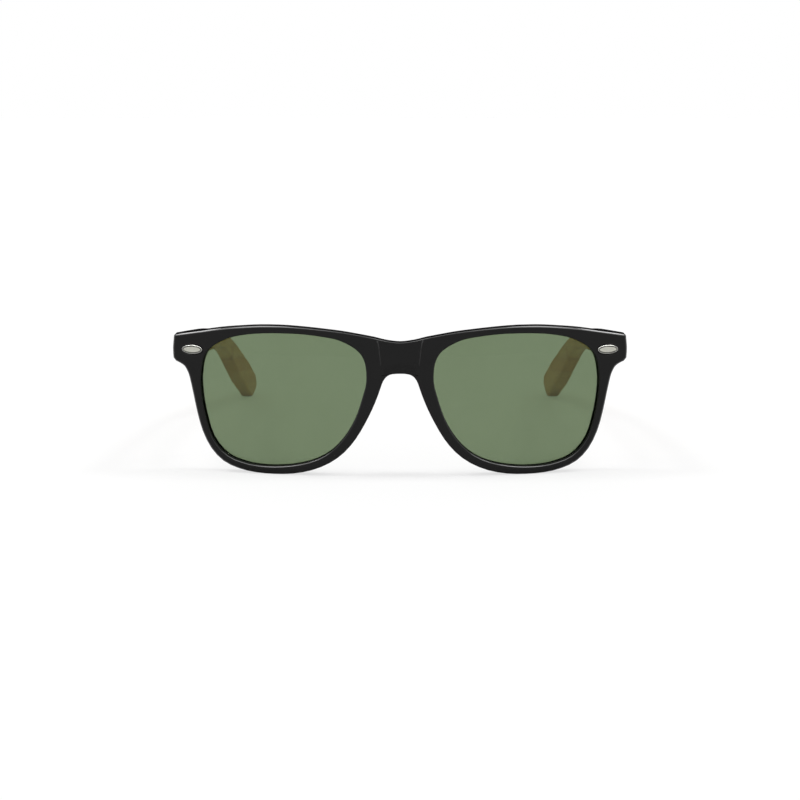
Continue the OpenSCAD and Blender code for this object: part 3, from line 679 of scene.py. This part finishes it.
# %% Table and room
def seen_white(tree):
    """1 for the rays that show the background: straight, in gloss and through the lenses."""
    path = add(tree, "ShaderNodeLightPath")
    first = add(tree, "ShaderNodeMath", {0: path.outputs["Is Camera Ray"],
                                         1: path.outputs["Is Transmission Ray"]},
                operation="MAXIMUM")
    return add(tree, "ShaderNodeMath", {0: first.outputs[0], 1: path.outputs["Is Glossy Ray"]},
               operation="MAXIMUM").outputs[0]


ROOM_LIGHT, TABLE_SIZE, TABLE_GLOW = 0.5, 60, 0.69
world = bpy.data.worlds.new("white_room")
bpy.context.scene.world = world
world.use_nodes = True
tree = world.node_tree
tree.nodes.clear()
level = add(tree, "ShaderNodeMapRange", {"Value": seen_white(tree), "To Min": ROOM_LIGHT,
                                         "To Max": 1.0})
sky = add(tree, "ShaderNodeBackground", {"Color": shade("#FFFFFF"),
                                         "Strength": level.outputs["Result"]})
add(tree, "ShaderNodeOutputWorld", {"Surface": sky.outputs[0]})

bpy.ops.object.select_all(action="DESELECT")
bpy.ops.mesh.primitive_plane_add(size=TABLE_SIZE, location=(0, 0, 0))
floor = bpy.context.active_object
floor.name = "table"
floor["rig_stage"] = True
material, tree = new_material("white_table")
seen = seen_white(tree)
lift = add(tree, "ShaderNodeMath", {0: seen, 1: TABLE_GLOW}, operation="MULTIPLY")
coat = add(tree, "ShaderNodeMix", {"Factor": seen, "A": shade("#C4C4C4"), "B": shade("#939393")},
           data_type="RGBA")
paint = add(tree, "ShaderNodeBsdfDiffuse", {"Color": coat.outputs["Result"]})
glow = add(tree, "ShaderNodeEmission", {"Color": shade("#FFFFFF"), "Strength": lift.outputs[0]})
both = add(tree, "ShaderNodeAddShader", {0: paint.outputs[0], 1: glow.outputs[0]})
show(tree, both)
floor.data.materials.append(material)
print("room:", world.name, "and table:", material.name)

# %% [markdown]
# ## Dark cloths
#
# A glossy black thing on a white table turns grey, because it mirrors the table. A photographer
# lays dark cloth just outside the picture to keep it black: a grey one in front for the faces,
# and a black one behind for the top of the brow, which mirrors far more because the camera looks
# along it. Each cloth lies on the table and is drawn up in a slope at its far end, so that the
# lamps light all of it alike. Only glossy rays see it: it neither shows nor casts a shadow.

# %% Cloths
def woven_cloth(name, light, dark):
    material, tree = new_material(name)
    place = add(tree, "ShaderNodeTexCoord").outputs["Object"]
    thread = add(tree, "ShaderNodeTexNoise", {"Vector": place, "Scale": 1 / (2 * MM)})
    dye = add(tree, "ShaderNodeMix", {"Factor": thread.outputs["Fac"], "A": shade(light),
                                      "B": shade(dark)}, data_type="RGBA")
    show(tree, add(tree, "ShaderNodeBsdfDiffuse", {"Color": dye.outputs["Result"]}))
    return material


# Width in metres, height over the table, and how far a cloth slopes back for each metre it rises.
CLOTH_W, CLOTH_UP, SLANT = 12, 0.2 * MM, 1.2


def cloth(name, weave, near, far, height):
    """A cloth on the table from one depth to another, drawn up in a slope at its far end."""
    bpy.ops.object.select_all(action="DESELECT")
    bpy.ops.mesh.primitive_plane_add(size=1, location=(0, (near + far) / 2, CLOTH_UP))
    piece = bpy.context.active_object
    piece.name = name
    bpy.ops.object.mode_set(mode="EDIT")
    bpy.ops.transform.resize(value=(CLOTH_W, abs(far - near), 1))
    bpy.ops.mesh.select_mode(type="EDGE")
    bpy.ops.mesh.select_all(action="DESELECT")
    bpy.ops.object.mode_set(mode="OBJECT")
    bpy.ops.object.transform_apply(location=True)
    for edge in piece.data.edges:
        edge.select = all(abs(piece.data.vertices[i].co.y - far) < MM for i in edge.vertices)
    bpy.ops.object.mode_set(mode="EDIT")
    run = math.copysign(SLANT * height, far)
    bpy.ops.mesh.extrude_edges_move(TRANSFORM_OT_translate={"value": (0, run, height)})
    bpy.ops.object.mode_set(mode="OBJECT")
    piece.visible_camera = piece.visible_diffuse = False
    piece.visible_transmission = piece.visible_shadow = False
    piece.data.materials.append(weave)
    piece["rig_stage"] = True
    print(name, "from", near, "to", far, "m, then up by", height, "m")


grey = woven_cloth("grey_cloth", "#A8A8A8", "#9A9A9A")
black = woven_cloth("black_cloth", "#1C1C1C", "#101010")
cloth("front_cloth", grey, near=-0.072, far=-1.2, height=4.0)
cloth("back_cloth", black, near=0.4, far=0.7, height=0.6)

# %% [markdown]
# ## Lamps
#
# A large soft lamp lights a small object evenly from end to end, and a sun lamp with a wide disc
# is the simplest such lamp. Two stand high on each side, one above the other. The edge of the brow
# mirrors them as a thin line, brighter near the end pieces, where the lower and smaller lamps
# show. Together they light the object and the table, and give the temples a soft shadow.

# %% Lamps
def soft_sun(name, towards, strength, spread):
    """A sun lamp in a direction, with a disc so many degrees wide."""
    bpy.ops.object.light_add(type="SUN", location=towards)
    lamp = bpy.context.active_object
    lamp.name = name
    lamp.data.energy = strength
    lamp.data.angle = math.radians(spread)
    lamp.rotation_euler = (-Vector(towards)).to_track_quat("-Z", "Y").to_euler()
    print(name, "strength", strength, "disc", spread, "degrees")


for side, sign in SIDES.items():
    soft_sun(side + "_high_lamp", towards=(sign * 0.31, -0.03, 0.95), strength=0.5, spread=18)
    soft_sun(side + "_low_lamp", towards=(sign * 0.56, 0.1, 0.82), strength=0.6, spread=11.5)

# %% [markdown]
# A long strip lamp hangs across the table, above the front and ahead of it. The chamfers that face
# up mirror it, which draws the thin grey line along the bottom of each rim and thickens the line on
# the brow. Only gloss can see this lamp, so it adds nothing to the plain light on the object.

# %% Strip lamp
LAMP_W, LAMP_D, LAMP_Y, LAMP_Z, LAMP_WATTS = 3.6, 0.64, -0.41, 1.5, 27
bpy.ops.object.light_add(type="AREA", location=(0, LAMP_Y, LAMP_Z))
strip_lamp = bpy.context.active_object
strip_lamp.name = "strip_lamp"
strip_lamp.data.shape = "RECTANGLE"
strip_lamp.data.size = LAMP_W
strip_lamp.data.size_y = LAMP_D
strip_lamp.data.energy = LAMP_WATTS
strip_lamp.visible_camera = strip_lamp.visible_diffuse = strip_lamp.visible_transmission = False
print("strip lamp:", LAMP_W, "by", LAMP_D, "m")

# %% [markdown]
# ## Camera
#
# The camera stands in front, a little above the glasses, and looks down by about ten degrees. A
# long lens from half a metre keeps the perspective gentle. A small shift moves the picture without
# tilting the camera further.

# %% Camera
# Distances ahead of the foremost point of the frame and heights over the table, in metres.
EYE_AHEAD, EYE_UP, AIM_AHEAD, AIM_UP = 0.50012, 0.1161, 0.00012, 0.0236
SHIFT, PICTURE = 4.97, 800
bpy.ops.object.camera_add(location=(0, cad_low.y - EYE_AHEAD, EYE_UP))
camera = bpy.context.active_object
aim = Vector((0, cad_low.y - AIM_AHEAD, AIM_UP))
camera.rotation_euler = (aim - camera.location).to_track_quat("-Z", "Y").to_euler()
camera.data.sensor_width = 36
camera.data.lens = 71.39
camera.data.shift_y = SHIFT / PICTURE
camera.data.clip_start = 0.01
bpy.context.scene.camera = camera
bpy.context.scene.view_settings.view_transform = "Standard"
print("camera:", camera.data.lens, "mm lens, shifted by", SHIFT, "of", PICTURE, "pixels")

# %% [markdown]
# ## Sizes
#
# Dressing a model must not change its size. The size of the dressed model is printed, in mm.

# %% Sizes and finish
low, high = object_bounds()
print("size in mm:", [round((b - a) / MM, 1) for a, b in zip(low, high)])
